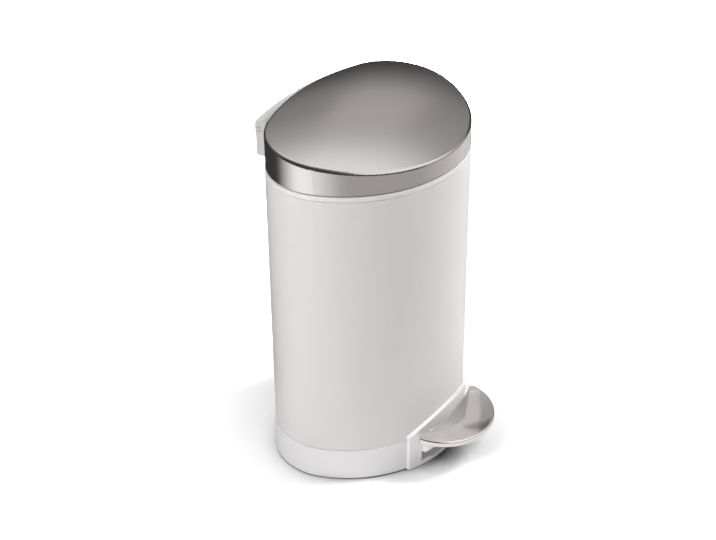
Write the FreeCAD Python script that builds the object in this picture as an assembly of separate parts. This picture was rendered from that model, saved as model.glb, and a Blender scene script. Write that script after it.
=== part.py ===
"""Pedal bin: painted steel wall on a plastic base, stainless lid and tread, push rod, damper, inner bucket.

Millimetres, +Z up, front toward -Y, the floor at Z = 0.
"""
import FreeCAD, Part
import math
import os
from FreeCAD import Vector

# Outline of the wall seen from above: four tangent arcs
front_radius = 103.0
back_radius = 195.0
corner_radius = 52.5
body_depth = 146.0

# Heights, each from the one before
foot_stand = 1.0
skirt_height = 30.5
wall_height = 245.0
lip_height = 3.8
lid_gap = 1.1
band_front = 16.5
band_back = 32.5

# Steps in and out from the wall's outer face
base_proud = 0.65
lid_step = 0.6
lip_width = 4.0

# Sheets and walls
steel_wall = 0.8
lid_wall = 0.8
base_wall = 2.6
spigot_wall = 2.0
spigot_fit = 0.1
seam_gap = 0.6

# Lid: rounded edge, dome and the liner that closes it from below
lid_edge_radius = 3.0
lid_crown = 9.0
edge_turns = (0.0, 20.0, 40.0, 60.0, 77.0)
dome_shares = (1.0, 0.84, 0.68, 0.52, 0.36, 0.2, 0.04)
liner_gap = 0.4
liner_skirt = 1.8
liner_floor = 2.0
liner_floor_rise = 2.6
liner_lift = 1.0
liner_height = 9.0

# Base: deck inside the wall, upstand, feet
deck_rise = 1.5
deck_thick = 2.5
upstand_height = 8.0
skirt_round = 1.5
foot_radius = 6.0
foot_socket = 2.0
foot_boss_wall = 2.0
foot_fit = 0.1
foot_x = 62.0
foot_front = 38.0
foot_back = 38.0

# Collar: spigot inside the wall, flange that carries the bucket, rubber bumpers under the lid
spigot_depth = 14.0
flange_thick = 2.5
bumper_radius = 1.1
bumper_inset = 2.8
bumper_sink = 1.5
bumper_gap = 0.3
bumper_front_turn = 25.0
bumper_side_turn = 40.0

# Bucket
bucket_clear = 0.8
bucket_rim = 2.8
bucket_rim_thick = 3.0
bucket_wall = 1.8
bucket_floor = 2.0
bucket_taper = 3.5
bucket_back_cut = 7.0
bucket_seat = 0.3
bucket_stand = 0.5
bucket_round = 6.0

# Hinge: pin, the lid's bracket with its barrel, the housing and its end caps
hinge_setback = 6.0
hinge_rise = 12.6
hinge_pin_radius = 2.0
hinge_clear = 0.06
barrel_top = 8.5
barrel_drop = 5.5
barrel_round = 4.0
barrel_gap = 0.4
cap_length = 5.2
bracket_side_gap = 0.3
bracket_plate = 3.0
bracket_reach = 30.5
block_reach = 15.0
bracket_screw_inner = 21.0
bracket_screw_outer = 40.0
bracket_screw_reach = 22.5
housing_half = 52.5
housing_depth = 16.5
housing_back_radius = 250.0
housing_drop = 5.8
housing_seam_drop = 1.0
housing_round = 3.0
housing_fit = 0.1
housing_screw_x = 30.0
housing_screw_bite = 7.0
ear_thick = 2.7
ear_radius = 4.0
cap_fit = 0.2
cap_front = 7.0
cap_round = 1.0
cap_slot_long = 4.0
cap_slot_wide = 1.2
cap_slot_deep = 1.0
cap_slot_rise = 2.6
notch_margin = 1.5
notch_clear = 2.0
notch_depth = 22.0

# Lid swing, in degrees, and the crank that the push rod turns
lid_swing = 75.0
crank_arm = 14.0
lug_side = 3.5
lug_thick = 5.0
lug_wall = 2.5
lug_play = 1.0
lug_end_play = 0.6
lug_tie_front = 13.5
lug_tie_back = 6.5
rod_space_left = 5.0
rod_space_right = 13.0
rod_space_back = 6.5
rod_space_top = 4.0

# Push rod, its retaining clips and its channel
rod_radius = 2.0
rod_bend = 5.0
rod_hook = 11.5
clip_radius = 3.9
clip_thick = 1.5
clip_gap = 0.4
rod_clear = 0.08
rod_hole_clear = 1.0
channel_half = 12.0
channel_wall = 1.6
channel_front_gap = 1.0
channel_gap = 0.2
guide_thick = 3.0
guide_shares = (0.08, 0.5, 0.92)

# Surround of the pedal's opening
surround_half = 47.0
surround_side_height = 35.0
surround_mid_height = 48.5
surround_proud = 3.2
surround_fit = 0.1
surround_round = 1.2
opening_half = 35.0
opening_sill = 3.8
tunnel_wall = 1.8
tunnel_depth = 14.0
tunnel_fit = 0.15

# Tread: a pressed half-moon with a turned-down band and a dished top
tread_radius = 45.5
tread_front = 42.0
tread_gap = 0.6
tread_top = 37.7
tread_band = 4.7
tread_tip = 3.5
tread_back_radius = 165.0
tread_sheet = 1.0
tread_round = 1.3
tread_rim = 1.6
dish_depth = 3.2
dish_shares = (1.0, 0.76, 0.52, 0.28, 0.05)
dish_tip = 9.0
dish_setback = 15.0

# Pedal carrier: plate under the tread, screw boss and two cheeks that reach back to the axle
carrier_fit = 0.2
carrier_plate = 1.4
carrier_gap = 0.3
boss_half = 11.0
boss_front = 24.0
boss_back = 2.0
cheek_outer = 34.3
cheek_thick = 3.3
cheek_front = 11.0
cheek_top_drop = 0.2
cheek_front_depth = 1.6
cheek_back_overlap = 0.5
cheek_shoulder_back = 1.0
cheek_shoulder = 28.0
cheek_toe_front = 1.0
cheek_toe = 15.5
cheek_heel_back = 7.0
cheek_heel = 13.5
hub_radius = 6.5
hub_gap = 0.4

# Axle, its bearings and clamps, and the screws
axle_setback = 43.0
axle_height = 16.0
axle_radius = 2.5
axle_clear = 0.06
axle_end_gap = 1.0
bearing_inner = 39.0
bearing_thick = 8.0
bearing_half = 9.0
clamp_height = 6.0
clamp_split = 0.1
clamp_screw_offset = 5.8
screw_radius = 1.25
screw_head_radius = 2.4
screw_head = 1.8
screw_bite = 8.0
close_fit = 0.02

# Lever: a pressed channel with a flat tongue under the carrier
lever_half = 8.0
lever_sheet = 1.5
lever_rise = 6.0
lever_end_rise = 3.6
lever_end_margin = 1.9
lever_web_stop = 7.0
lever_front_run = 30.0
lever_front_depth = 6.0
tongue_rise = 10.0
tongue_front = 20.0
lever_slot_play = 0.3
lever_slot_end_play = 0.8
pedal_screw_near = 7.0
pedal_screw_far = 16.0
pedal_screw_bite = 5.0

# Damper
damper_x = 19.0
damper_bore = 3.0
damper_wall = 1.0
damper_top = 2.0
damper_spare = 2.0
damper_rest_gap = 1.5
gland_thick = 2.5
piston_thick = 5.0
piston_clear = 0.08
piston_rod_radius = 1.5
ring_wide = 1.4
ring_deep = 0.7
ring_clear = 0.04
damper_hook = 14.5
damper_clip_radius = 2.8

# Allowance that carries a cut clear of a face, tolerance for finding an edge, and a full turn in degrees
overrun = 5.0
snap = 0.01
full_turn = 360.0

# Heights worked out from those above
base_top = foot_stand + skirt_height
wall_top = base_top + wall_height
collar_top = wall_top + lip_height
lid_bottom = collar_top + lid_gap
crease_front = lid_bottom + band_front
crease_back = lid_bottom + band_back
lid_tilt = math.atan2(crease_back - crease_front, body_depth)
deck_bottom = base_top + deck_rise
deck_top = deck_bottom + deck_thick
upstand_top = deck_top + upstand_height
flange_bottom = wall_top - spigot_depth
flange_top = flange_bottom + flange_thick
liner_bottom = lid_bottom + liner_lift
liner_floor_low = liner_bottom + liner_floor_rise
liner_floor_high = liner_floor_low + liner_floor

# Insets from the wall's outer face
base_inset = base_wall - base_proud
spigot_inset = steel_wall + spigot_fit
spigot_inner = spigot_inset + spigot_wall
liner_inset = lid_step + lid_wall + liner_gap
bucket_inset = lip_width + bucket_clear + bucket_rim

# Places along Y
wall_front = -body_depth / 2
wall_back = body_depth / 2
front_centre = wall_front + front_radius
back_centre = wall_back - back_radius
bucket_back = wall_back - bucket_inset - bucket_back_cut

# Hinge axis, push rod, axle and lever
hinge_y = wall_back + hinge_setback
hinge_z = lid_bottom + hinge_rise
housing_back = wall_back + housing_depth
housing_bottom = wall_top - housing_drop
housing_seam = hinge_z - housing_seam_drop
barrel_high = hinge_z + barrel_top
barrel_low = hinge_z - barrel_drop
barrel_end = housing_half - cap_length
bracket_half = barrel_end - bracket_side_gap
ear_end = barrel_end + ear_thick
rod_y = hinge_y - crank_arm
half_swing = math.radians(lid_swing / 2)
rod_lift = 2 * crank_arm * math.tan(half_swing)
hook_z = hinge_z - rod_lift / 2
axle_y = wall_front + axle_setback
axle_z = foot_stand + axle_height
axle_half = bearing_inner + bearing_thick - axle_end_gap
heel_z = axle_z - rod_lift / 2
tongue_top = axle_z + tongue_rise

# Pedal opening and tread
opening_low = foot_stand + opening_sill
opening_high = base_top - surround_fit - tunnel_wall
tunnel_half = opening_half + tunnel_wall
tunnel_low = opening_low - tunnel_wall
tread_back = wall_front - surround_proud - tread_gap
tread_apex = wall_front - tread_front
tread_centre = tread_apex + tread_radius
tread_high = foot_stand + tread_top
tread_low = tread_high - tread_band
tread_back_centre = tread_back + tread_back_radius
dish_middle = tread_back - dish_setback
carrier_high = tread_high - dish_depth - tread_sheet - carrier_gap
carrier_low = carrier_high - carrier_plate

# Damper
gland_top = deck_top + gland_thick
piston_low = gland_top + damper_rest_gap
piston_high = piston_low + piston_thick
damper_ceiling = piston_high + rod_lift + damper_spare
damper_high = damper_ceiling + damper_top

# Shift that puts the origin under the middle of the whole bin
frame_shift = -(tread_apex + housing_back) / 2

along_x = Vector(1, 0, 0)
up = Vector(0, 0, 1)
down = Vector(0, 0, -1)
forward = Vector(0, -1, 0)


def arc(x, y, radius, start, end):
    """Circular edge about (x, y) from one angle to another, in radians."""
    angles = (start, (start + end) / 2, end)
    points = [Vector(x + radius * math.cos(a), y + radius * math.sin(a), 0) for a in angles]
    return Part.Arc(*points).toShape()


def oval_layout(inset, back_cut=0.0, stretch=1.0):
    """Radii, centres and joint angles of the wall's outline pulled in by an inset."""
    front = front_radius - inset
    back = back_radius - inset
    corner = corner_radius - inset
    depth = (body_depth - 2 * inset - back_cut) * stretch
    front_y = -back_cut / 2 - depth / 2 + front
    back_y = -back_cut / 2 + depth / 2 - back
    near = front - corner
    far = back - corner
    corner_y = (far ** 2 - near ** 2 + front_y ** 2 - back_y ** 2) / (2 * (front_y - back_y))
    corner_x = math.sqrt(near ** 2 - (corner_y - front_y) ** 2)
    front_turn = math.atan2(corner_y - front_y, corner_x)
    back_turn = math.atan2(corner_y - back_y, corner_x)
    return front, back, corner, front_y, back_y, corner_x, corner_y, front_turn, back_turn


def oval(inset, z=0.0, back_cut=0.0, stretch=1.0):
    """Wire of the wall's outline pulled in by an inset, at a height."""
    layout = oval_layout(inset, back_cut, stretch)
    front, back, corner, front_y, back_y, corner_x, corner_y, front_turn, back_turn = layout
    wire = Part.Wire([
        arc(0, front_y, front, -math.pi - front_turn, front_turn),
        arc(corner_x, corner_y, corner, front_turn, back_turn),
        arc(0, back_y, back, back_turn, math.pi - back_turn),
        arc(-corner_x, corner_y, corner, math.pi - back_turn, math.pi - front_turn),
    ])
    wire.translate(Vector(0, 0, z))
    return wire


def column(inset, low, high, back_cut=0.0):
    """Solid of the outline between two heights."""
    return Part.Face(oval(inset, low, back_cut)).extrude(Vector(0, 0, high - low))


def box(low, high):
    """Box between two corners."""
    size = [b - a for a, b in zip(low, high)]
    return Part.makeBox(*size, Vector(*low))


def bar(radius, start, length, axis):
    """Round bar from a point along an axis."""
    return Part.makeCylinder(radius, length, Vector(*start), axis)


def cross_bar(radius, half, y, z):
    """Round bar across the bin, the same length on both sides of the middle."""
    return bar(radius, (-half, y, z), 2 * half, along_x)


def side_plate(points, low_x, high_x):
    """Plate whose outline is a list of (y, z) points, between two x positions."""
    corners = [Vector(low_x, y, z) for y, z in points]
    face = Part.Face(Part.makePolygon(corners + corners[:1]))
    return face.extrude(Vector(high_x - low_x, 0, 0))


def stadium(first, second, radius, low_x, high_x):
    """Plate with two round ends about two (y, z) centres, between two x positions."""
    start = Vector(low_x, *first)
    end = Vector(low_x, *second)
    tail = (end - start).normalize() * radius
    side = tail.cross(along_x)
    edges = [
        Part.LineSegment(start + side, end + side),
        Part.Arc(end + side, end + tail, end - side),
        Part.LineSegment(end - side, start - side),
        Part.Arc(start - side, start - tail, start + side),
    ]
    face = Part.Face(Part.Wire([e.toShape() for e in edges]))
    return face.extrude(Vector(high_x - low_x, 0, 0))


def both_sides(shape):
    """The shape and its mirror image in the middle plane."""
    return [shape, shape.mirror(Vector(0, 0, 0), along_x)]


def level_edges(shape, z):
    """Edges that lie at one height."""
    return [e for e in shape.Edges if abs(e.BoundBox.ZMin - z) < snap and abs(e.BoundBox.ZMax - z) < snap]


def back_arc_y(x, proud):
    """Y of the wall's back arc, pushed out by a step, at an x position."""
    return back_centre + math.sqrt((back_radius + proud) ** 2 - x ** 2)


def screw(tip, axis, length):
    """Pan-head screw: its shank runs from the tip along an axis to the underside of its head."""
    shank = bar(screw_radius, tip, length, axis)
    head = bar(screw_head_radius, Vector(*tip) + axis * length, screw_head, axis)
    return shank.fuse(head).removeSplitter()


def washer(radius, hole, x, y, z):
    """Round clip pushed on to a rod that runs across the bin."""
    start = (x, y, z)
    return bar(radius, start, clip_thick, along_x).cut(bar(hole, start, clip_thick, along_x))


def bent_rod(radius, points):
    """Round wire with equal bends at the inner points of an (x, z) route, in the plane of the push rod."""
    corners = [Vector(x, rod_y, z) for x, z in points]
    edges = []
    last = corners[0]
    for before, corner, after in zip(corners, corners[1:], corners[2:]):
        back = (before - corner).normalize() * rod_bend
        ahead = (after - corner).normalize() * rod_bend
        centre = corner + back + ahead
        middle = centre + (corner - centre).normalize() * rod_bend
        edges.append(Part.LineSegment(last, corner + back).toShape())
        edges.append(Part.Arc(corner + back, middle, corner + ahead).toShape())
        last = corner + ahead
    edges.append(Part.LineSegment(last, corners[-1]).toShape())
    section = Part.Wire(Part.makeCircle(radius, corners[0], corners[1] - corners[0]))
    return Part.Wire(edges).makePipeShell([section], True, False)


def foot_bars(radius, low, high):
    """Upright round bar at the place of each foot."""
    places = [(x, y) for x in (-foot_x, foot_x) for y in (-foot_front, foot_back)]
    return [bar(radius, (x, y, low), high - low, up) for x, y in places]


def housing_screws():
    """The two screws that hold the hinge housing to the wall from inside: tip, axis and length of each."""
    z = wall_top - housing_drop / 2
    tip_y = back_arc_y(housing_screw_x, 0) + housing_screw_bite
    seat_y = back_arc_y(housing_screw_x + screw_head_radius, -spigot_inner)
    return [((x, tip_y, z), forward, tip_y - seat_y) for x in (-housing_screw_x, housing_screw_x)]


def clamp_screws():
    """The four screws of the axle clamps."""
    x = bearing_inner + bearing_thick / 2
    length = screw_bite + clamp_height
    ys = (axle_y - clamp_screw_offset, axle_y + clamp_screw_offset)
    return [((side, y, axle_z + screw_bite), down, length) for side in (-x, x) for y in ys]


def bracket_screws():
    """The four screws that hold the hinge bracket to the lid's liner from below."""
    xs = (-bracket_screw_outer, -bracket_screw_inner, bracket_screw_inner, bracket_screw_outer)
    top = liner_floor_high + bracket_plate
    return [((x, hinge_y - bracket_screw_reach, top), down, top - liner_floor_low) for x in xs]


def pedal_screws():
    """The two screws that hold the lever's tongue to the carrier from below."""
    length = pedal_screw_bite + lever_sheet
    tip_z = tongue_top + pedal_screw_bite
    runs = (pedal_screw_near, pedal_screw_far)
    return [((0, tread_back - run, tip_z), down, length) for run in runs]


def screw_holes(screws):
    """Holes for a set of screws."""
    return [bar(screw_radius + close_fit, tip, length, axis) for tip, axis, length in screws]


def make_screws(screws):
    """Solids of a set of screws."""
    return Part.makeCompound([screw(*place) for place in screws])


def make_body_shell():
    """Painted steel wall, with a narrow groove between it and the mouldings below and above."""
    low, high = base_top + seam_gap, wall_top - seam_gap
    shell = column(0, low, high).cut(column(steel_wall, low, high))
    return shell.cut(screw_holes(housing_screws()))


def bearing_block(low, high):
    """Block across the axle at the right-hand bearing."""
    outer = bearing_inner + bearing_thick
    return box((bearing_inner, axle_y - bearing_half, low), (outer, axle_y + bearing_half, high))


def make_base_moulding():
    """Plastic base: skirt, upstand inside the wall, deck, foot bosses and the axle's upper bearings."""
    skirt = column(-base_proud, foot_stand, base_top)
    skirt = skirt.makeFillet(skirt_round, level_edges(skirt, foot_stand))
    base = skirt.fuse(column(spigot_inset, base_top, upstand_top))
    base = base.cut(column(base_inset, foot_stand - overrun, deck_bottom))
    base = base.cut(column(spigot_inner, deck_top, upstand_top + overrun))
    bosses = foot_bars(foot_radius + foot_boss_wall, foot_stand, deck_bottom)
    base = base.fuse(bosses + both_sides(bearing_block(axle_z, deck_bottom)))
    sockets = foot_bars(foot_radius + foot_fit, 0, foot_stand + foot_socket)
    rod_hole = bar(rod_radius + rod_hole_clear, (0, rod_y, deck_bottom), deck_thick, up)
    damper_hole = bar(piston_rod_radius + rod_hole_clear, (-damper_x, rod_y, deck_bottom), deck_thick, up)
    axle_seat = cross_bar(axle_radius + axle_clear, axle_half + overrun, axle_y, axle_z)
    half = tunnel_half + tunnel_fit
    doorway = box((-half, tread_apex, tunnel_low - tunnel_fit), (half, wall_front + tunnel_depth, base_top))
    cuts = sockets + screw_holes(clamp_screws()) + [rod_hole, damper_hole, axle_seat, doorway]
    return base.cut(cuts).removeSplitter()


def make_rubber_feet():
    """Four round feet in the base's sockets."""
    return Part.makeCompound(foot_bars(foot_radius, 0, foot_stand + foot_socket))


def make_pedal_surround():
    """Panel with an arched top round the pedal's opening, with a tunnel that passes through the skirt."""
    side_z = foot_stand + surround_side_height
    left = Vector(-surround_half, tread_apex, foot_stand)
    right = Vector(surround_half, tread_apex, foot_stand)
    shoulder = Vector(0, 0, surround_side_height)
    crown = Vector(0, tread_apex, foot_stand + surround_mid_height)
    outline = Part.Wire([
        Part.LineSegment(left, right).toShape(),
        Part.LineSegment(right, right + shoulder).toShape(),
        Part.Arc(right + shoulder, crown, left + shoulder).toShape(),
        Part.LineSegment(left + shoulder, left).toShape(),
    ])
    front = Part.Face(outline).extrude(Vector(0, front_centre - tread_apex - corner_radius, 0))
    panel = front.common(column(-surround_proud, foot_stand, crown.z))
    inside = column(-surround_fit, foot_stand - overrun, crown.z + overrun)
    skirt_step = -base_proud - surround_fit
    panel = panel.cut([inside, column(skirt_step, foot_stand - overrun, base_top + surround_fit)])
    rim = [e for e in panel.Edges if is_surround_rim(e, side_z)]
    panel = panel.makeFillet(surround_round, rim)
    low, high = tunnel_low, opening_high + tunnel_wall
    tunnel = box((-tunnel_half, tread_apex, low), (tunnel_half, wall_front + tunnel_depth, high))
    tunnel = tunnel.common(column(skirt_step, low, high).fuse(panel))
    opening = box((-opening_half, tread_apex, opening_low), (opening_half, front_centre, opening_high))
    return panel.fuse(tunnel).cut(opening).removeSplitter()


def is_surround_rim(edge, side_z):
    """Whether an edge is on the panel's outer face, along its sides or its arched top."""
    box_of = edge.BoundBox
    middle = edge.valueAt((edge.FirstParameter + edge.LastParameter) / 2)
    reach = math.hypot(middle.x, middle.y - front_centre)
    return abs(reach - front_radius - surround_proud) < snap and box_of.ZMax > side_z - snap


def make_top_collar():
    """Plastic ring on the wall: lip under the lid, spigot in the wall, flange that carries the bucket."""
    collar = column(0, wall_top, collar_top).fuse(column(spigot_inset, flange_bottom, wall_top))
    bucket_way = column(bucket_inset - bucket_clear, flange_bottom, collar_top, bucket_back_cut)
    rod_hole = bar(rod_radius + rod_hole_clear, (0, rod_y, flange_bottom), flange_thick, up)
    cuts = [column(spigot_inner, flange_top, wall_top), column(lip_width, wall_top, collar_top)]
    cuts += [bucket_way, rod_hole, rod_space(flange_top, collar_top, wall_back)]
    cuts += bumper_bars(bumper_radius + close_fit, collar_top)
    return collar.cut(cuts + screw_holes(housing_screws())).removeSplitter()


def rod_space(low, high, back):
    """Space that the push rod's hook and the bracket's lug move in, between two heights."""
    return box((-rod_space_left, bucket_back, low), (rod_space_right, back, high))


def bumper_bars(radius, high):
    """Upright bars at the lid's bumpers along the lip: two on the front arc, two on the corners."""
    front, _, corner, front_y, _, corner_x, corner_y, _, _ = oval_layout(bumper_inset)
    lean = math.radians(bumper_front_turn)
    turn = math.radians(bumper_side_turn)
    low = collar_top - bumper_sink
    bars = []
    for side in (-1, 1):
        front_x = side * front * math.sin(lean)
        side_x = side * (corner_x + corner * math.cos(turn))
        bars.append(bar(radius, (front_x, front_y - front * math.cos(lean), low), high - low, up))
        bars.append(bar(radius, (side_x, corner_y + corner * math.sin(turn), low), high - low, up))
    return bars


def make_lid_bumpers():
    """Four rubber pads that the lid's liner closes on."""
    return Part.makeCompound(bumper_bars(bumper_radius, liner_bottom - bumper_gap))


def housing_limit(low, high):
    """Upright drum whose front side is the curved back face of the hinge."""
    centre = Vector(0, housing_back - housing_back_radius, low)
    return Part.makeCylinder(housing_back_radius, high - low, centre)


def barrel_reach(x):
    """Distance from the hinge axis to the farthest point of the barrel's back, at an x position."""
    drum = math.sqrt(housing_back_radius ** 2 - x ** 2)
    back = housing_back - housing_back_radius + drum - hinge_y
    top_corner = math.hypot(back - barrel_round, barrel_top - barrel_round) + barrel_round
    return max(top_corner, math.hypot(back, barrel_drop))


def barrel_pocket():
    """Crowned round space about the hinge axis that the barrel turns in."""
    middle = Vector(0, hinge_y, hinge_z + barrel_reach(0) + barrel_gap)
    side = hinge_z + barrel_reach(barrel_end) + barrel_gap
    left = Vector(-barrel_end, hinge_y, side)
    right = Vector(barrel_end, hinge_y, side)
    axis_left = Vector(-barrel_end, hinge_y, hinge_z)
    axis_right = Vector(barrel_end, hinge_y, hinge_z)
    edges = [
        Part.Arc(left, middle, right).toShape(),
        Part.LineSegment(right, axis_right).toShape(),
        Part.LineSegment(axis_right, axis_left).toShape(),
        Part.LineSegment(axis_left, left).toShape(),
    ]
    return Part.Face(Part.Wire(edges)).revolve(axis_left, along_x, full_turn)


def make_hinge_housing():
    """Fixed housing across the back, hollowed for the lid's barrel, with an ear for the pin at each end."""
    block = box((-housing_half, 0, housing_bottom), (housing_half, housing_back, housing_seam))
    block = block.common(housing_limit(housing_bottom, housing_seam))
    upright = [e for e in block.Edges if e.BoundBox.XLength < snap and e.BoundBox.YLength < snap]
    block = block.makeFillet(housing_round, [e for e in upright if e.BoundBox.YMin > hinge_y])
    housing = block.cut(column(-housing_fit, housing_bottom, housing_seam))
    ear = bar(ear_radius, (barrel_end, hinge_y, hinge_z), ear_thick, along_x)
    housing = housing.fuse(both_sides(ear))
    pin_hole = cross_bar(hinge_pin_radius + close_fit, housing_half, hinge_y, hinge_z)
    gate_low = liner_floor_high - barrel_gap
    gate = box((-barrel_end, 0, gate_low), (barrel_end, hinge_y, housing_seam))
    lug_room = rod_space(collar_top, housing_seam, hinge_y)
    cuts = [barrel_pocket(), gate, lug_room, pin_hole] + screw_holes(housing_screws())
    return housing.cut(cuts).removeSplitter()


def barrel_block(low_x, high_x, front, low):
    """Block with the hinge's curved back and rounded upper edge, for the bracket and the end caps."""
    block = box((low_x, hinge_y - front, low), (high_x, housing_back, barrel_high))
    block = block.common(housing_limit(low, barrel_high))
    crest = [e for e in level_edges(block, barrel_high) if e.Curve.TypeId == "Part::GeomCircle"]
    return block.makeFillet(barrel_round, crest)


def make_hinge_end_caps():
    """Cap over each ear, with a release slot in its end face."""
    low = housing_seam + cap_fit
    cap = barrel_block(barrel_end, housing_half, cap_front, low)
    outer = [e for e in cap.Edges if e.BoundBox.XMin > housing_half - snap and e.BoundBox.ZMax > low + snap]
    cap = cap.makeFillet(cap_round, outer)
    ear_room = bar(ear_radius + cap_fit, (barrel_end, hinge_y, hinge_z), ear_thick + cap_fit, along_x)
    slot_low = low + cap_slot_rise
    slot = box((housing_half - cap_slot_deep, hinge_y - cap_slot_long / 2, slot_low),
               (housing_half, hinge_y + cap_slot_long / 2, slot_low + cap_slot_wide))
    return Part.makeCompound(both_sides(cap.cut([ear_room, slot])))


def make_hinge_pin():
    """Steel pin through both ears and the lid's bracket."""
    return cross_bar(hinge_pin_radius, ear_end, hinge_y, hinge_z)


def tilted_oval(inset, rise, share=1.0):
    """Outline laid in the lid's sloping plane, shrunk to a share about its middle."""
    wire = oval(inset, 0.0, 0.0, 1 / math.cos(lid_tilt))
    wire.scale(share)
    wire.rotate(Vector(0, 0, 0), along_x, math.degrees(lid_tilt))
    wire.translate(Vector(0, 0, (crease_front + crease_back) / 2 + rise))
    return wire


def lid_form(wall, bottom):
    """Closed form of the lid, a wall in from its outer face: straight band, rounded edge and dome."""
    radius = lid_edge_radius - wall
    inset = lid_step + wall
    sections = []
    for turn in edge_turns:
        angle = math.radians(turn)
        pull = inset + radius * (1 - math.cos(angle))
        rise = radius * math.sin(angle) - lid_edge_radius
        sections.append(tilted_oval(pull, rise))
    dome = [tilted_oval(pull, rise + lid_crown * (1 - share ** 2), share) for share in dome_shares]
    band = Part.makeLoft([oval(inset, bottom), sections[0]], True, True)
    upper = [Part.makeLoft(wires, True, False) for wires in (sections, dome)]
    return band.fuse(upper).removeSplitter()


def make_lid_shell():
    """Drawn stainless lid, notched at the back for the hinge."""
    half = housing_half + notch_margin
    top = barrel_high + notch_clear
    notch = box((-half, wall_back - notch_depth, lid_bottom), (half, wall_back, top))
    return lid_form(0.0, lid_bottom).cut([lid_form(lid_wall, lid_bottom), notch])


def make_lid_liner():
    """Plastic tray that closes the lid from below."""
    top = liner_bottom + liner_height
    inner = liner_inset + liner_skirt
    liner = column(liner_inset, liner_bottom, top)
    half = bracket_half + bracket_side_gap
    gate = box((-half, wall_back - notch_depth, liner_floor_high), (half, wall_back, top))
    cuts = [column(inner, liner_bottom, liner_floor_low), column(inner, liner_floor_high, top), gate]
    cuts.append(rod_space(liner_bottom, top, wall_back))
    return liner.cut(cuts + screw_holes(bracket_screws())).removeSplitter()


def crank_point(reach):
    """(y, z) of a point on the line of the lug's slot, at a distance from the hinge axis."""
    return hinge_y - reach * math.cos(half_swing), hinge_z - reach * math.sin(half_swing)


def make_lid_hinge_bracket():
    """The lid's half of the hinge: barrel, plate on the liner, slotted lug that the push rod lifts."""
    shape = barrel_block(-bracket_half, bracket_half, block_reach, barrel_low)
    plate_top = liner_floor_high + bracket_plate
    plate_low = (-bracket_half, hinge_y - bracket_reach, liner_floor_high)
    shape = shape.fuse(box(plate_low, (bracket_half, hinge_y - rod_space_back, plate_top)))
    space_top = hinge_z - rod_space_top
    shape = shape.cut(rod_space(lid_bottom, space_top, hinge_y - rod_space_back))
    near = crank_point(crank_arm - lug_end_play)
    far = crank_point(crank_arm / math.cos(half_swing) + lug_end_play)
    lug_end = lug_side + lug_thick
    slot_half = rod_radius + lug_play
    tie_low = (lug_side, hinge_y - lug_tie_front, near[1])
    tie = box(tie_low, (lug_end, hinge_y - lug_tie_back, space_top + lug_wall))
    shape = shape.fuse([stadium(near, far, slot_half + lug_wall, lug_side, lug_end), tie])
    bore = cross_bar(hinge_pin_radius + hinge_clear, bracket_half, hinge_y, hinge_z)
    cuts = [stadium(near, far, slot_half, lug_side, lug_end), bore] + screw_holes(bracket_screws())
    return shape.cut(cuts).removeSplitter()


def bucket_form(inset, low, high):
    """Tapered form of the bucket between two heights, with a rounded bottom edge."""
    wires = [oval(inset + bucket_taper, low, bucket_back_cut), oval(inset, high, bucket_back_cut)]
    form = Part.makeLoft(wires, True, True)
    return form.makeFillet(bucket_round, level_edges(form, low))


def make_inner_bucket():
    """Removable bucket that hangs by its rim in the collar."""
    low = deck_top + bucket_stand
    rim_low = flange_top + bucket_seat
    rim_high = rim_low + bucket_rim_thick
    bucket = bucket_form(bucket_inset, low, rim_high)
    bucket = bucket.fuse(column(bucket_inset - bucket_rim, rim_low, rim_high, bucket_back_cut))
    hollow = bucket_form(bucket_inset + bucket_wall, low + bucket_floor, rim_high)
    return bucket.cut(hollow).removeSplitter()


def make_push_rod():
    """Steel rod with a hook at each end: the lid's lug above, the lever below."""
    return bent_rod(rod_radius, [(rod_hook, hook_z), (0, hook_z), (0, heel_z), (rod_hook, heel_z)])


def make_rod_clips():
    """Push-on clips that keep the rod's hooks in the lug and in the lever."""
    hole = rod_radius + close_fit
    places = ((lug_side + lug_thick + clip_gap, hook_z), (lever_half + clip_gap, heel_z))
    return Part.makeCompound([washer(clip_radius, hole, x, rod_y, z) for x, z in places])


def make_rod_channel():
    """Plastic channel on the back wall with guide ribs for the push rod."""
    front = bucket_back + channel_front_gap
    inner_half = channel_half - channel_wall
    inner_front = front + channel_wall
    channel = box((-channel_half, front, deck_top), (channel_half, wall_back, flange_bottom))
    channel = channel.cut(box((-inner_half, inner_front, deck_top), (inner_half, wall_back, flange_bottom)))
    for share in guide_shares:
        z = deck_top + (flange_bottom - deck_top) * share
        channel = channel.fuse(box((-inner_half, inner_front, z), (inner_half, wall_back, z + guide_thick)))
    channel = channel.common(column(spigot_inner + channel_gap, deck_top, flange_bottom))
    rod_way = bar(rod_radius + rod_clear, (0, rod_y, deck_top), flange_bottom - deck_top, up)
    return channel.cut(rod_way).removeSplitter()


def moon(inset, z, corner=tread_tip):
    """Half-moon wire of the tread pulled in by an inset: round front, hollow back, rounded tips."""
    radius = tread_radius - inset
    back_radius = tread_back_radius + inset
    tip = corner - inset
    near = radius - tip
    far = back_radius + tip
    span = 2 * (tread_centre - tread_back_centre)
    tip_y = (far ** 2 - near ** 2 + tread_centre ** 2 - tread_back_centre ** 2) / span
    tip_x = math.sqrt(near ** 2 - (tip_y - tread_centre) ** 2)
    front_turn = math.atan2(tip_y - tread_centre, tip_x)
    back_turn = math.atan2(tip_y - tread_back_centre, tip_x)
    wire = Part.Wire([
        arc(0, tread_centre, radius, -math.pi - front_turn, front_turn),
        arc(tip_x, tip_y, tip, front_turn, math.pi + back_turn),
        arc(0, tread_back_centre, back_radius, back_turn, -math.pi - back_turn),
        arc(-tip_x, tip_y, tip, -back_turn, math.pi - front_turn),
    ])
    wire.translate(Vector(0, 0, z))
    return wire


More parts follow.
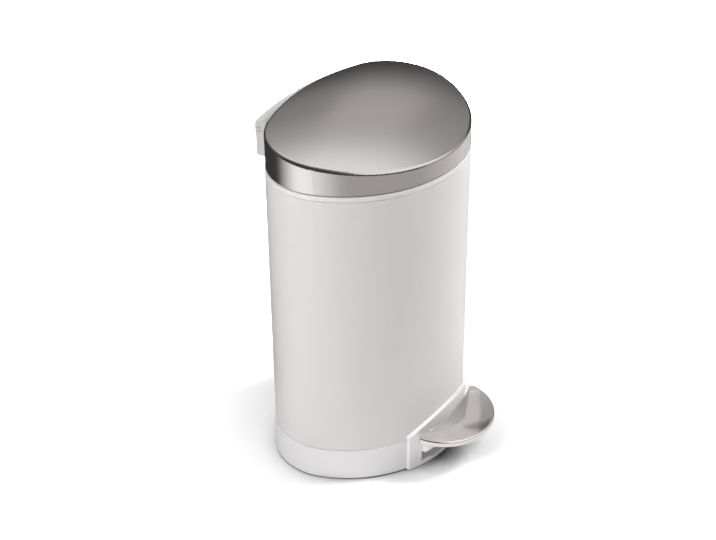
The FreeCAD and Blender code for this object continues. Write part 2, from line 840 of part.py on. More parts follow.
def moon_plate(inset, low, high):
    """Solid of the half-moon between two heights."""
    return Part.Face(moon(inset, low)).extrude(Vector(0, 0, high - low))


def dish_section(inset, z, share=1.0):
    """Outline of the dish at a height, shrunk to a share about its lowest point."""
    wire = moon(inset, 0, dish_tip)
    wire.scale(share, Vector(0, dish_middle, 0))
    wire.translate(Vector(0, 0, z))
    return wire


def dish_form(inset, rim):
    """Solid that scoops out the tread's dish below a rim height."""
    wires = [dish_section(inset, rim - dish_depth * (1 - share ** 2), share) for share in dish_shares]
    above = Part.Face(dish_section(inset, rim)).extrude(Vector(0, 0, overrun))
    return Part.makeLoft(wires, True, False).fuse(above)


def make_pedal_tread():
    """Pressed stainless tread with a dished top."""
    tread = moon_plate(0.0, tread_low, tread_high)
    tread = tread.makeFillet(tread_round, level_edges(tread, tread_high))
    hollow = moon_plate(tread_sheet, tread_low, tread_high - tread_sheet)
    hollow = hollow.cut(dish_form(tread_rim - tread_sheet, tread_high - tread_sheet))
    return tread.cut([dish_form(tread_rim, tread_high), hollow])


def make_pedal_carrier():
    """Plastic carrier: plate and boss under the tread, two cheeks with hubs on the axle."""
    carrier = moon_plate(tread_sheet + carrier_fit, carrier_low, carrier_high)
    boss_low = (-boss_half, tread_back - boss_front, tongue_top)
    boss = box(boss_low, (boss_half, tread_back - boss_back, carrier_low))
    cheek_top = tread_low - cheek_top_drop
    outline = [
        (tread_back - cheek_front, cheek_top - cheek_front_depth),
        (tread_back - cheek_front, carrier_high),
        (tread_back - tread_sheet - carrier_fit, carrier_high),
        (tread_back - tread_sheet - carrier_fit, cheek_top),
        (tread_back + cheek_back_overlap, cheek_top),
        (wall_front + cheek_shoulder_back, foot_stand + cheek_shoulder),
        (axle_y, axle_z + hub_radius),
        (axle_y, axle_z - hub_radius),
        (wall_front + cheek_heel_back, foot_stand + cheek_heel),
        (wall_front - cheek_toe_front, foot_stand + cheek_toe),
    ]
    cheek_inner = cheek_outer - cheek_thick
    cheek = side_plate(outline, cheek_inner, cheek_outer)
    hub = bar(hub_radius, (cheek_inner, axle_y, axle_z), bearing_inner - hub_gap - cheek_inner, along_x)
    carrier = carrier.fuse([boss] + both_sides(cheek.fuse(hub)))
    bore = cross_bar(axle_radius + close_fit, axle_half, axle_y, axle_z)
    return carrier.cut([bore] + screw_holes(pedal_screws())).removeSplitter()


def lever_outline(drop_top, drop_bottom):
    """(y, z) outline of the lever's side, with its top and bottom lines lowered."""
    front_y = axle_y - lever_front_run
    end_y = rod_y + rod_radius + lever_slot_end_play + lever_end_margin
    return [
        (front_y, tongue_top - drop_top),
        (axle_y, axle_z + lever_rise - drop_top),
        (end_y, heel_z + lever_end_rise - drop_top),
        (end_y, heel_z - lever_end_rise - drop_bottom),
        (axle_y, axle_z - lever_rise - drop_bottom),
        (front_y, tongue_top - lever_front_depth - drop_bottom),
    ]


def make_pedal_lever():
    """Pressed steel channel from the tread back to the push rod."""
    lever = side_plate(lever_outline(0, 0), -lever_half, lever_half)
    inner_half = lever_half - lever_sheet
    lever = lever.cut(side_plate(lever_outline(lever_sheet, overrun), -inner_half, inner_half))
    web_end = rod_y - lever_web_stop
    lever = lever.cut(box((-inner_half, web_end, 0), (inner_half, wall_back, deck_bottom)))
    front_y = axle_y - lever_front_run
    tongue_low = (-lever_half, tread_back - tongue_front, tongue_top - lever_sheet)
    lever = lever.fuse(box(tongue_low, (lever_half, front_y, tongue_top)))
    slot = stadium((rod_y - lever_slot_end_play, heel_z), (rod_y + lever_slot_end_play, heel_z),
                   rod_radius + lever_slot_play, -lever_half, lever_half)
    bore = cross_bar(axle_radius + close_fit, lever_half, axle_y, axle_z)
    return lever.cut([slot, bore] + screw_holes(pedal_screws())).removeSplitter()


def make_pedal_axle():
    """Steel axle that the pedal turns on."""
    return cross_bar(axle_radius, axle_half, axle_y, axle_z)


def make_axle_clamps():
    """Plastic clamp under each end of the axle."""
    clamp = bearing_block(axle_z - clamp_height, axle_z - clamp_split)
    seat = cross_bar(axle_radius + axle_clear, axle_half + overrun, axle_y, axle_z)
    cuts = [seat] + screw_holes(clamp_screws())
    return Part.makeCompound([c.cut(cuts) for c in both_sides(clamp)])


def damper_bar(radius, low, high):
    """Upright round bar on the damper's axis."""
    return bar(radius, (-damper_x, rod_y, low), high - low, up)


def make_damper_cylinder():
    """Cylinder of the air damper, standing on the deck."""
    body = damper_bar(damper_bore + damper_wall, deck_top, damper_high)
    return body.cut(damper_bar(damper_bore, deck_top, damper_ceiling))


def make_damper_gland():
    """Plug that closes the cylinder's lower end round the piston rod."""
    return damper_bar(damper_bore - close_fit, deck_top, gland_top).cut(
        damper_bar(piston_rod_radius + rod_clear, deck_top, gland_top))


def ring_span():
    """Lower and upper height of the piston's ring."""
    middle = (piston_low + piston_high) / 2
    return middle - ring_wide / 2, middle + ring_wide / 2


def make_damper_piston():
    """Piston with a groove for its ring."""
    piston = damper_bar(damper_bore - piston_clear, piston_low, piston_high)
    groove = damper_bar(damper_bore, *ring_span()).cut(damper_bar(damper_bore - ring_deep, *ring_span()))
    return piston.cut([groove, damper_bar(piston_rod_radius + close_fit, piston_low, piston_high)])


def make_piston_ring():
    """Rubber ring in the piston's groove."""
    ring = damper_bar(damper_bore - ring_clear, *ring_span())
    return ring.cut(damper_bar(damper_bore - ring_deep, *ring_span()))


def make_damper_rod():
    """Piston rod, bent at its lower end to hook into the lever."""
    route = [(damper_hook - damper_x, heel_z), (-damper_x, heel_z), (-damper_x, piston_high)]
    return bent_rod(piston_rod_radius, route)


def make_damper_clip():
    """Push-on clip that keeps the piston rod in the lever."""
    x = lever_sheet - lever_half + clip_gap
    return washer(damper_clip_radius, piston_rod_radius + close_fit, x, rod_y, heel_z)


parts = {
    "body_shell": make_body_shell(),
    "base_moulding": make_base_moulding(),
    "rubber_feet": make_rubber_feet(),
    "pedal_surround": make_pedal_surround(),
    "top_collar": make_top_collar(),
    "lid_bumpers": make_lid_bumpers(),
    "hinge_housing": make_hinge_housing(),
    "housing_screws": make_screws(housing_screws()),
    "hinge_end_caps": make_hinge_end_caps(),
    "hinge_pin": make_hinge_pin(),
    "rod_channel": make_rod_channel(),
    "axle_clamps": make_axle_clamps(),
    "clamp_screws": make_screws(clamp_screws()),
    "damper_cylinder": make_damper_cylinder(),
    "damper_gland": make_damper_gland(),
    "lid_shell": make_lid_shell(),
    "lid_liner": make_lid_liner(),
    "lid_hinge_bracket": make_lid_hinge_bracket(),
    "bracket_screws": make_screws(bracket_screws()),
    "pedal_tread": make_pedal_tread(),
    "pedal_carrier": make_pedal_carrier(),
    "pedal_lever": make_pedal_lever(),
    "pedal_axle": make_pedal_axle(),
    "pedal_screws": make_screws(pedal_screws()),
    "push_rod": make_push_rod(),
    "rod_clips": make_rod_clips(),
    "damper_rod": make_damper_rod(),
    "damper_piston": make_damper_piston(),
    "piston_ring": make_piston_ring(),
    "damper_clip": make_damper_clip(),
    "inner_bucket": make_inner_bucket(),
}

os.makedirs("parts", exist_ok=True)
for name, shape in parts.items():
    shape.translate(Vector(0, frame_shift, 0))
    shape.exportStep("parts/" + name + ".step")
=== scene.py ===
"""Looks of a small pedal bin: white powder-coated wall, white mouldings, satin stainless lid and tread."""
import math

import bpy
from mathutils import Matrix, Vector

bl_info = {
    "name": "Pedal bin looks",
    "version": (1, 0, 0),
    "blender": (4, 5, 0),
    "location": "View3D > Sidebar > Pedal bin",
    "description": "Finishes, stage and camera for a pedal bin with a stainless lid",
    "category": "Object",
}

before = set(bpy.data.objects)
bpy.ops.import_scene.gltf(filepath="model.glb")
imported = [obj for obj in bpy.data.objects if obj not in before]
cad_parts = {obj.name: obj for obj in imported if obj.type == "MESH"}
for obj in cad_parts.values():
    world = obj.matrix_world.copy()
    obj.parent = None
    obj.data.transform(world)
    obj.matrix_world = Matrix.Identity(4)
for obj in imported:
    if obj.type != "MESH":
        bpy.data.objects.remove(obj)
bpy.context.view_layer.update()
MM = 0.001

# Pieces that share a finish
WALL = ("body_shell",)
MOULDINGS = ("base_moulding", "pedal_surround", "top_collar", "pedal_carrier")
HINGE = ("hinge_housing", "hinge_end_caps", "lid_hinge_bracket")
LID = ("lid_shell",)
TREAD = ("pedal_tread",)
PLATED = (
    "hinge_pin", "housing_screws", "clamp_screws", "bracket_screws", "pedal_screws", "pedal_lever",
    "pedal_axle", "push_rod", "rod_clips", "damper_rod", "damper_clip",
)
GREY_MOULDINGS = (
    "lid_liner", "rod_channel", "axle_clamps", "damper_cylinder", "damper_gland", "damper_piston",
)
RUBBER = ("rubber_feet", "lid_bumpers", "piston_ring")
BUCKET = ("inner_bucket",)

# Lowest and highest roughness of each finish
PAINT_ROUGHNESS = (0.3, 0.4)
WHITE_ROUGHNESS = (0.34, 0.44)
GREY_ROUGHNESS = (0.42, 0.54)
BUCKET_ROUGHNESS = (0.42, 0.56)
LID_ROUGHNESS = (0.22, 0.24)
TREAD_ROUGHNESS = (0.09, 0.12)
ZINC_ROUGHNESS = (0.24, 0.4)
RUBBER_ROUGHNESS = (0.65, 0.85)

# Polishing lines: what they take from or add to the roughness, and how far they are drawn out along X
LINE_ROUGHNESS = (-0.01, 0.01)
LINE_STRETCH = 50

# Distances from the bin's middle and heights of the reflection cards' rims, in metres
FLOOR_NEAR = 0.16
FLOOR_FAR = 1.2
FLOOR_LIFT = 2 * MM
CARD_AWAY = 1.25
LOW_TOP = 0.6
RISE_TOP = 0.88
HIGH_TOP = 1.6
ROOF = 2.4
ROOF_HOLE = 0.02

# Near and far rim of each kind of card, as (distance, height)
FLOOR_CARD = ((FLOOR_NEAR, FLOOR_LIFT), (FLOOR_FAR, FLOOR_LIFT))
LOW_CARD = ((CARD_AWAY, 0), (CARD_AWAY, LOW_TOP))
RISE_CARD = ((CARD_AWAY, LOW_TOP), (CARD_AWAY, RISE_TOP))
HIGH_CARD = ((CARD_AWAY, RISE_TOP), (CARD_AWAY, HIGH_TOP))
TOP_CARD = ((CARD_AWAY, HIGH_TOP), (CARD_AWAY, ROOF))
UPPER_CARD = ((CARD_AWAY, LOW_TOP), (CARD_AWAY, ROOF))
WALL_CARD = ((CARD_AWAY, 0), (CARD_AWAY, ROOF))
ROOF_CARD = ((CARD_AWAY, ROOF), (ROOF_HOLE, ROOF))

# Cards that show only in gloss: name, first and last brightness, first and last angle from +X in degrees,
# rims, and True where the brightness runs from angle to angle and not from rim to rim
REFLECTION_CARDS = (
    ("card_floor_back", 0.05, 0.05, 25, 118, FLOOR_CARD),
    ("card_floor_turn", 0.05, 1.55, 118, 154, FLOOR_CARD, True),
    ("card_floor_left", 1.55, 1.55, 154, 176, FLOOR_CARD),
    ("card_floor_ease", 1.55, 0.55, 176, 208, FLOOR_CARD, True),
    ("card_floor_front", 0.55, 0.55, 208, 280, FLOOR_CARD),
    ("card_floor_right", 0.55, 1.0, 280, 350, FLOOR_CARD, True),
    ("card_low_back", 0.02, 0.02, -20, 100, LOW_CARD),
    ("card_rise_back", 0.02, 0.42, -20, 100, RISE_CARD),
    ("card_high_right", 0.34, 0.5, -20, 17, HIGH_CARD),
    ("card_high_back", 0.6, 0.58, 17, 38, HIGH_CARD),
    ("card_high_side", 0.3, 0.5, 38, 100, HIGH_CARD),
    ("card_top_back", 0.55, 1.38, -20, 100, TOP_CARD),
    ("card_roof_back", 1.38, 1.38, -20, 100, ROOF_CARD),
    ("card_wall_side", 0.02, 0.4, 100, 134, WALL_CARD),
    ("card_roof_side", 0.4, 0.4, 100, 134, ROOF_CARD),
    ("card_wall_left", 0.01, 0.14, 134, 228, WALL_CARD),
    ("card_roof_left", 0.14, 0.14, 134, 228, ROOF_CARD),
    ("card_low_front", 0.03, 0.03, 228, 285, LOW_CARD),
    ("card_low_right", 0.5, 0.5, 285, 340, LOW_CARD),
    ("card_upper_front", 1.35, 1.35, 228, 320, UPPER_CARD),
    ("card_upper_right", 0.5, 0.6, 320, 340, UPPER_CARD),
    ("card_roof_front", 1.25, 1.25, 228, 340, ROOF_CARD),
)
CARD_STEPS = 24

# A card that goes over this brightness is a little cool, which makes the warm steel's highlights neutral
BRIGHT_LIMIT = 1.0
BRIGHT_CARD_TINT = "#f8fefe"
DIM_CARD_TINT = "#ffffff"

# Softboxes: name, place and width in metres, power in watts
SOFTBOXES = (
    ("softbox_left", (-1.25, 0.2, 1.5), 0.6, 21),
    ("softbox_right", (1.03, -0.87, 1.35), 0.6, 24.5),
)
SOFTBOX_AIM = Vector((0, 0, 0.15))

# Shares of open space over the floor at which its painted contact shadow is full and at which it ends
PAINTED_SHADOW_FULL_SHARE = 0.3
PAINTED_SHADOW_END_SHARE = 0.7
PAINTED_SHADOW_SAMPLES = 8

# Camera: width of its sensor in millimetres, and shift of the picture as shares of its width
SENSOR_WIDTH = 36.0
SHIFT_ACROSS_SHARE = -0.0262
SHIFT_UP_SHARE = -0.001


def linear(code):
    """Linear colour with full alpha from an sRGB hex code."""
    shares = [int(code[i:i + 2], 16) / 255 for i in (1, 3, 5)]
    return [s / 12.92 if s <= 0.04045 else ((s + 0.055) / 1.055) ** 2.4 for s in shares] + [1.0]


def colour(name, description, code):
    """Colour property with an sRGB hex default."""
    return bpy.props.FloatVectorProperty(
        name=name, description=description, subtype="COLOR", size=4, min=0, max=1, default=linear(code))


def length(name, description, default):
    """Length property in metres."""
    return bpy.props.FloatProperty(name=name, description=description, default=default, unit="LENGTH")


def level(name, description, default):
    """Brightness property, on which 1 is white."""
    return bpy.props.FloatProperty(name=name, description=description, default=default, min=0)


def angle(name, description, degrees):
    """Angle property with its default in degrees."""
    return bpy.props.FloatProperty(
        name=name, description=description, subtype="ANGLE", default=math.radians(degrees))


class BinFinish(bpy.types.PropertyGroup):
    """Colours and grain sizes of the bin's finishes."""
    paint: colour("Paint", "Powder coat of the wall", "#f0eeed")
    moulding: colour("Moulding", "White plastic of the base, surround, collar and carrier", "#fbf9f9")
    # Painted shade: the hinge's white plastic is tinted greyer than the other mouldings, for the shade it
    # sits in
    hinge: colour("Hinge", "Greyer white plastic of the hinge", "#dad8d7")
    stainless: colour("Stainless", "Satin stainless of the lid", "#cac3c2")
    # Partly painted light: the tread is polished smoother than the lid, and its tint is painted lighter
    # than stainless to stand in for brighter reflections
    tread: colour("Tread", "Brighter stainless of the tread", "#ece6e5")
    plating: colour("Plating", "Zinc plate on the rods, lever, pins and screws", "#b9bcc0")
    grey: colour("Grey moulding", "Plastic of the inner pieces", "#8d8e90")
    rubber: colour("Rubber", "Feet, bumpers and piston ring", "#1c1c1d")
    bucket: colour("Bucket", "Plastic of the lift-out bucket", "#4b4c4f")
    peel: length("Orange peel", "Spacing of the powder coat's ripple", 2.2 * MM)
    peel_depth: length("Orange peel depth", "Depth of the powder coat's ripple", 0.1 * MM)
    paint_drift: length("Paint drift", "Spacing of slow changes in the paint's gloss", 44 * MM)
    spark: length("Moulded grain", "Spacing of the mouldings' fine texture", 0.5 * MM)
    spark_depth: length("Moulded grain depth", "Depth of the mouldings' fine texture", 0.05 * MM)
    plastic_drift: length("Plastic drift", "Spacing of slow changes in the mouldings' gloss", 25 * MM)
    grit: length("Polish grain", "Spacing of the polishing lines", 0.35 * MM)
    steel_drift: length("Steel drift", "Spacing of slow changes in the stainless steel's gloss", 35 * MM)
    cloud: length("Plating cloud", "Spacing of the cloudy spots in the zinc plate", 4 * MM)
    bloom: length("Rubber bloom", "Spacing of the bloom on the rubber", 2 * MM)
    bloom_depth: length("Rubber bloom depth", "Depth of the bloom on the rubber", 0.05 * MM)


class BinStage(bpy.types.PropertyGroup):
    """Floor, light and camera."""
    floor_shade: level("Floor shade", "White of the floor in the light that it throws on the bin", 0.96)
    floor_gloss: level("Floor in gloss", "White of the floor in the metal's reflections", 0.85)
    floor_seen: level("Floor seen", "White of the floor at the bin, as the camera sees it", 1.25)
    floor_far: level("Floor far", "White of the floor at the white reach, as the camera sees it", 2.1)
    # Painted shade: the floor's white close under the bin and its tread
    floor_painted_shade: level("Floor under", "White of the floor close under the bin", 0.06)
    shadow_reach: length("Shadow reach", "Distance from the bin's middle where the floor brightens", 0.1)
    white_reach: length("White reach", "Distance from the bin's middle where it is Floor far", 0.19)
    # Painted shade: things up to this height darken the floor's colour below them
    painted_shade_reach: length("Contact reach", "Height up to which things darken the floor below", 44 * MM)
    floor_half: length("Floor half width", "Half the width of the floor", 6.0)
    sky: level("Sky", "Light that falls on the bin from all round", 0.06)
    focal: length("Focal length", "Lens of the camera", 75.99 * MM)
    distance: length("Camera distance", "From the camera to the point it looks at", 1.2925)
    target_height: length("Target height", "Height of the point that the camera looks at", 0.1603)
    target_back: length("Target depth", "Place of that point along the bin", 0.01275)
    azimuth: angle("Azimuth", "Camera's turn from the front", -56.318)
    elevation: angle("Elevation", "Camera's height above the horizon", 32.76)


def add(tree, kind, inputs=None, **settings):
    """Adds a node, sets its properties, and sets or links its inputs by name or number."""
    made = tree.nodes.new(kind)
    for key, value in settings.items():
        setattr(made, key, value)
    for key, value in (inputs or {}).items():
        if isinstance(value, bpy.types.NodeSocket):
            tree.links.new(value, made.inputs[key])
        else:
            made.inputs[key].default_value = value
    return made


def new_material(name):
    """Empty node material and its tree."""
    made = bpy.data.materials.new(name)
    made.use_nodes = True
    made.node_tree.nodes.clear()
    return made, made.node_tree


def close(tree, shader):
    """Links a shader to the material's surface."""
    add(tree, "ShaderNodeOutputMaterial", {"Surface": shader.outputs[0]})


def drift(tree, place, spacing, limits, detail=2.0):
    """Value that wanders between two limits over a real spacing, as a finish's roughness does."""
    low, high = limits
    spots = add(tree, "ShaderNodeTexNoise", {"Vector": place, "Scale": 1 / spacing, "Detail": detail})
    value = add(tree, "ShaderNodeMapRange", {"Value": spots.outputs[0], "To Min": low, "To Max": high})
    return value.outputs[0]


def powder_coat(finish):
    """Polyester powder coat baked on steel: satin, with the faint orange peel of the melted powder."""
    made, tree = new_material("powder_coat_white_satin")
    place = add(tree, "ShaderNodeTexCoord").outputs["Object"]
    peel = add(tree, "ShaderNodeTexNoise", {"Vector": place, "Scale": 1 / finish.peel, "Detail": 2.0})
    bump = add(tree, "ShaderNodeBump", {
        "Height": peel.outputs[0], "Strength": 0.04, "Distance": finish.peel_depth})
    close(tree, add(tree, "ShaderNodeBsdfPrincipled", {
        "Base Color": finish.paint, "Normal": bump.outputs[0], "IOR": 1.5, "Specular IOR Level": 0.3,
        "Roughness": drift(tree, place, finish.paint_drift, PAINT_ROUGHNESS)}))
    return made


def moulded(name, tint, finish, roughness):
    """Injection-moulded plastic: fine spark-eroded texture from the mould, satin to matt."""
    made, tree = new_material(name)
    place = add(tree, "ShaderNodeTexCoord").outputs["Object"]
    grain = add(tree, "ShaderNodeTexNoise", {"Vector": place, "Scale": 1 / finish.spark, "Detail": 3.0})
    bump = add(tree, "ShaderNodeBump", {
        "Height": grain.outputs[0], "Strength": 0.06, "Distance": finish.spark_depth})
    close(tree, add(tree, "ShaderNodeBsdfPrincipled", {
        "Base Color": tint, "Normal": bump.outputs[0], "IOR": 1.49,
        "Roughness": drift(tree, place, finish.plastic_drift, roughness)}))
    return made


def polished_stainless(name, tint, finish, roughness):
    """Drawn stainless, belt-polished: soft reflections, and faint lines along X that show close up."""
    made, tree = new_material(name)
    place = add(tree, "ShaderNodeTexCoord").outputs["Object"]
    stretch = add(tree, "ShaderNodeMapping", {"Vector": place, "Scale": (1 / LINE_STRETCH, 1, 1)})
    lines = drift(tree, stretch.outputs[0], finish.grit, LINE_ROUGHNESS, detail=3.0)
    base = drift(tree, place, finish.steel_drift, roughness)
    rough = add(tree, "ShaderNodeMath", {0: lines, 1: base}, operation="ADD")
    close(tree, add(tree, "ShaderNodeBsdfPrincipled", {
        "Base Color": tint, "Metallic": 1.0, "Roughness": rough.outputs[0]}))
    return made


def zinc_plate(finish):
    """Bright zinc plate on drawn steel: greyish, a little cloudy."""
    made, tree = new_material("zinc_plate_bright")
    place = add(tree, "ShaderNodeTexCoord").outputs["Object"]
    close(tree, add(tree, "ShaderNodeBsdfPrincipled", {
        "Base Color": finish.plating, "Metallic": 1.0,
        "Roughness": drift(tree, place, finish.cloud, ZINC_ROUGHNESS, detail=3.0)}))
    return made


def moulded_rubber(finish):
    """Moulded rubber: matt black with a fine bloom."""
    made, tree = new_material("rubber_moulded_black")
    place = add(tree, "ShaderNodeTexCoord").outputs["Object"]
    bloom = add(tree, "ShaderNodeTexNoise", {"Vector": place, "Scale": 1 / finish.bloom, "Detail": 3.0})
    bump = add(tree, "ShaderNodeBump", {
        "Height": bloom.outputs[0], "Strength": 0.1, "Distance": finish.bloom_depth})
    close(tree, add(tree, "ShaderNodeBsdfPrincipled", {
        "Base Color": finish.rubber, "Normal": bump.outputs[0], "IOR": 1.52,
        "Roughness": drift(tree, place, finish.bloom, RUBBER_ROUGHNESS, detail=3.0)}))
    return made


def dress(names, finish_material):
    """Gives a finish to CAD nodes."""
    for name in names:
        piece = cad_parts[name]
        piece.data.materials.clear()
        piece.data.materials.append(finish_material)


class BIN_OT_wall(bpy.types.Operator):
    """Powder coat on the wall"""
    bl_idname = "bin.wall"
    bl_label = "Wall"

    def execute(self, context):
        dress(WALL, powder_coat(context.scene.bin_finish))
        return {"FINISHED"}


class BIN_OT_mouldings(bpy.types.Operator):
    """White, grey and dark plastic mouldings"""
    bl_idname = "bin.mouldings"
    bl_label = "Mouldings"

    def execute(self, context):
        finish = context.scene.bin_finish
        dress(MOULDINGS, moulded("abs_moulded_white", finish.moulding, finish, WHITE_ROUGHNESS))
        # The hinge takes a greyer copy of the white moulding, as painted shade
        dress(HINGE, moulded("acetal_moulded_white_painted_shade", finish.hinge, finish, WHITE_ROUGHNESS))
        dress(GREY_MOULDINGS, moulded("polypropylene_moulded_grey", finish.grey, finish, GREY_ROUGHNESS))
        dress(BUCKET, moulded("polypropylene_moulded_dark", finish.bucket, finish, BUCKET_ROUGHNESS))
        return {"FINISHED"}


class BIN_OT_metal(bpy.types.Operator):
    """Stainless lid and tread, plated rods, lever, pins and screws"""
    bl_idname = "bin.metal"
    bl_label = "Metal"

    def execute(self, context):
        finish = context.scene.bin_finish
        dress(LID, polished_stainless("stainless_satin_polished", finish.stainless, finish, LID_ROUGHNESS))
        # The tread's lighter tint is painted sheen, on a smoother real polish
        dress(TREAD, polished_stainless("stainless_polished_painted_sheen", finish.tread, finish, TREAD_ROUGHNESS))
        dress(PLATED, zinc_plate(finish))
        return {"FINISHED"}


class BIN_OT_rubber(bpy.types.Operator):
    """Rubber feet, bumpers and piston ring"""
    bl_idname = "bin.rubber"
    bl_label = "Rubber"

    def execute(self, context):
        dress(RUBBER, moulded_rubber(context.scene.bin_finish))
        return {"FINISHED"}


def directly_seen(tree):
    """One for rays of the camera, of gloss and through glass, and zero for light that falls on things."""
    path = add(tree, "ShaderNodeLightPath").outputs
    straight = add(tree, "ShaderNodeMath", {
        0: path["Is Camera Ray"], 1: path["Is Glossy Ray"]}, operation="MAXIMUM")
    seen = add(tree, "ShaderNodeMath", {
        0: straight.outputs[0], 1: path["Is Transmission Ray"]}, operation="MAXIMUM")
    return seen.outputs[0]


def floor_material(stage):
    """Matt white paper that keeps the bin's shadow, with painted shade close under things, and brightens
    further out where the camera sees it.
    """
    made, tree = new_material("paper_floor_white")
    place = add(tree, "ShaderNodeTexCoord").outputs["Object"]
    away = add(tree, "ShaderNodeVectorMath", {0: place}, operation="LENGTH").outputs["Value"]
    rise = add(tree, "ShaderNodeMapRange", {
        "Value": away, "From Min": stage.shadow_reach, "From Max": stage.white_reach,
        "To Min": stage.floor_seen, "To Max": stage.floor_far}, clamp=False)
    far = add(tree, "ShaderNodeMath", {0: rise.outputs[0], 1: stage.floor_seen}, operation="MAXIMUM")
    camera = add(tree, "ShaderNodeLightPath").outputs["Is Camera Ray"]
    bright = add(tree, "ShaderNodeMapRange", {
        "Value": camera, "To Min": stage.floor_gloss, "To Max": far.outputs[0]})
    # Painted shade: the floor's colour darkens where things are close above it
    space = add(tree, "ShaderNodeAmbientOcclusion", {
        "Distance": stage.painted_shade_reach}, samples=PAINTED_SHADOW_SAMPLES)
    seen = add(tree, "ShaderNodeMapRange", {
        "Value": space.outputs["AO"], "From Min": PAINTED_SHADOW_FULL_SHARE, "From Max": PAINTED_SHADOW_END_SHARE,
        "To Min": stage.floor_painted_shade, "To Max": bright.outputs[0]})
    shade = add(tree, "ShaderNodeMapRange", {
        "Value": directly_seen(tree), "To Min": stage.floor_shade, "To Max": seen.outputs[0]})
    close(tree, add(tree, "ShaderNodeBsdfDiffuse", {"Color": shade.outputs[0]}))
    return made


def stage_sheet(name, points, faces, material):
    """Sheet of flat faces that belongs to the stage."""
    mesh = bpy.data.meshes.new(name)
    mesh.from_pydata(points, [], faces)
    mesh.materials.append(material)
    made = bpy.data.objects.new(name, mesh)
    bpy.context.scene.collection.objects.link(made)
    return made


def ring_sheet(start, end, rims):
    """Points and faces of a strip round the bin, between two (distance, height) rims and two angles."""
    turns = [math.radians(start + (end - start) * i / CARD_STEPS) for i in range(CARD_STEPS + 1)]
    points = [(d * math.cos(a), d * math.sin(a), z) for d, z in rims for a in turns]
    faces = [(i, i + 1, i + CARD_STEPS + 2, i + CARD_STEPS + 1) for i in range(CARD_STEPS)]
    return points, faces


def reflection_card(name, first, last, start, end, rims, by_angle=False):
    """Studio card with a run of brightness that shows only in the gloss of the metal and the paint."""
    made, tree = new_material(name)
    shade = add(tree, "ShaderNodeAttribute", attribute_name="shade")
    tint = linear(BRIGHT_CARD_TINT if max(first, last) > BRIGHT_LIMIT else DIM_CARD_TINT)
    close(tree, add(tree, "ShaderNodeEmission", {"Color": tint, "Strength": shade.outputs["Fac"]}))
    card = stage_sheet(name, *ring_sheet(start, end, rims), made)
    layer = card.data.attributes.new("shade", "FLOAT", "POINT")
    for i, point in enumerate(layer.data):
        rim, step = divmod(i, CARD_STEPS + 1)
        share = step / CARD_STEPS if by_angle else rim
        point.value = first + (last - first) * share
    card.visible_camera = False
    card.visible_diffuse = False
    card.visible_shadow = False


def softbox(name, place, width, power):
    """Square softbox aimed at the bin, which doesn't show in gloss."""
    lamp = bpy.data.lights.new(name, "AREA")
    lamp.size = width
    lamp.energy = power
    made = bpy.data.objects.new(name, lamp)
    made.location = place
    aim = SOFTBOX_AIM - made.location
    made.rotation_euler = aim.to_track_quat("-Z", "Y").to_euler()
    made.visible_glossy = False
    bpy.context.scene.collection.objects.link(made)


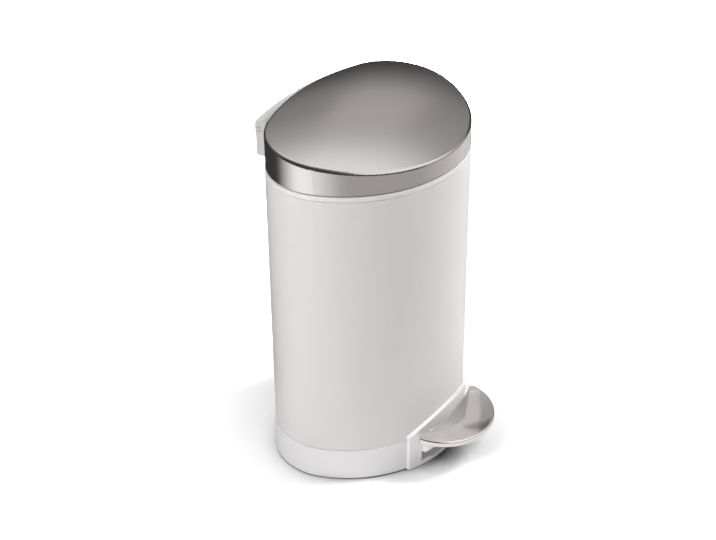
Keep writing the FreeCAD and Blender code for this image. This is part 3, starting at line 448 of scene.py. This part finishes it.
class BIN_OT_stage(bpy.types.Operator):
    """Floor, reflection cards, light and camera"""
    bl_idname = "bin.stage"
    bl_label = "Stage"

    def execute(self, context):
        stage = context.scene.bin_stage
        half = stage.floor_half
        corners = [(-half, -half, 0), (half, -half, 0), (half, half, 0), (-half, half, 0)]
        stage_sheet("floor", corners, [range(len(corners))], floor_material(stage))
        for card in REFLECTION_CARDS:
            reflection_card(*card)
        for lamp in SOFTBOXES:
            softbox(*lamp)
        self.light_world(context.scene, stage)
        self.place_camera(context.scene, stage)
        return {"FINISHED"}

    def light_world(self, scene, stage):
        """White all round where it is seen, and a faint even light on the bin."""
        world = bpy.data.worlds.new("even_light")
        world.use_nodes = True
        tree = world.node_tree
        tree.nodes.clear()
        strength = add(tree, "ShaderNodeMapRange", {
            "Value": directly_seen(tree), "To Min": stage.sky, "To Max": 1.0})
        light = add(tree, "ShaderNodeBackground", {"Color": (1, 1, 1, 1), "Strength": strength.outputs[0]})
        add(tree, "ShaderNodeOutputWorld", {"Surface": light.outputs[0]})
        scene.world = world
        scene.view_settings.view_transform = "Standard"

    def place_camera(self, scene, stage):
        """Camera at the photograph's angle."""
        turn, lift = stage.azimuth, stage.elevation
        back = Vector((math.sin(turn) * math.cos(lift), -math.cos(turn) * math.cos(lift), math.sin(lift)))
        right = Vector((math.cos(turn), math.sin(turn), 0))
        up = back.cross(right)
        camera = bpy.data.cameras.new("camera")
        camera.sensor_width = SENSOR_WIDTH
        camera.lens = stage.focal / MM
        camera.shift_x = SHIFT_ACROSS_SHARE
        camera.shift_y = SHIFT_UP_SHARE
        made = bpy.data.objects.new("camera", camera)
        made.matrix_world = Matrix((right, up, back)).transposed().to_4x4()
        made.location = Vector((0, stage.target_back, stage.target_height)) + back * stage.distance
        scene.collection.objects.link(made)
        scene.camera = made


class BIN_PT_looks(bpy.types.Panel):
    """Lists the steps of the bin's looks and their settings"""
    bl_idname = "BIN_PT_looks"
    bl_label = "Pedal bin"
    bl_space_type = "VIEW_3D"
    bl_region_type = "UI"
    bl_category = "Pedal bin"

    def draw(self, context):
        for step in STEPS:
            self.layout.operator(step.bl_idname)
        for group in (context.scene.bin_finish, context.scene.bin_stage):
            for name in group.__annotations__:
                self.layout.prop(group, name)


STEPS = (BIN_OT_wall, BIN_OT_mouldings, BIN_OT_metal, BIN_OT_rubber, BIN_OT_stage)
CLASSES = (BinFinish, BinStage) + STEPS + (BIN_PT_looks,)


def register():
    """Adds the classes and the scene's settings."""
    for cls in CLASSES:
        bpy.utils.register_class(cls)
    bpy.types.Scene.bin_finish = bpy.props.PointerProperty(type=BinFinish)
    bpy.types.Scene.bin_stage = bpy.props.PointerProperty(type=BinStage)


def unregister():
    """Takes the settings and the classes away again."""
    del bpy.types.Scene.bin_stage
    del bpy.types.Scene.bin_finish
    for cls in reversed(CLASSES):
        bpy.utils.unregister_class(cls)


def main():
    register()
    bpy.ops.bin.wall()
    bpy.ops.bin.mouldings()
    bpy.ops.bin.metal()
    bpy.ops.bin.rubber()
    bpy.ops.bin.stage()


if __name__ == "__main__":
    main()
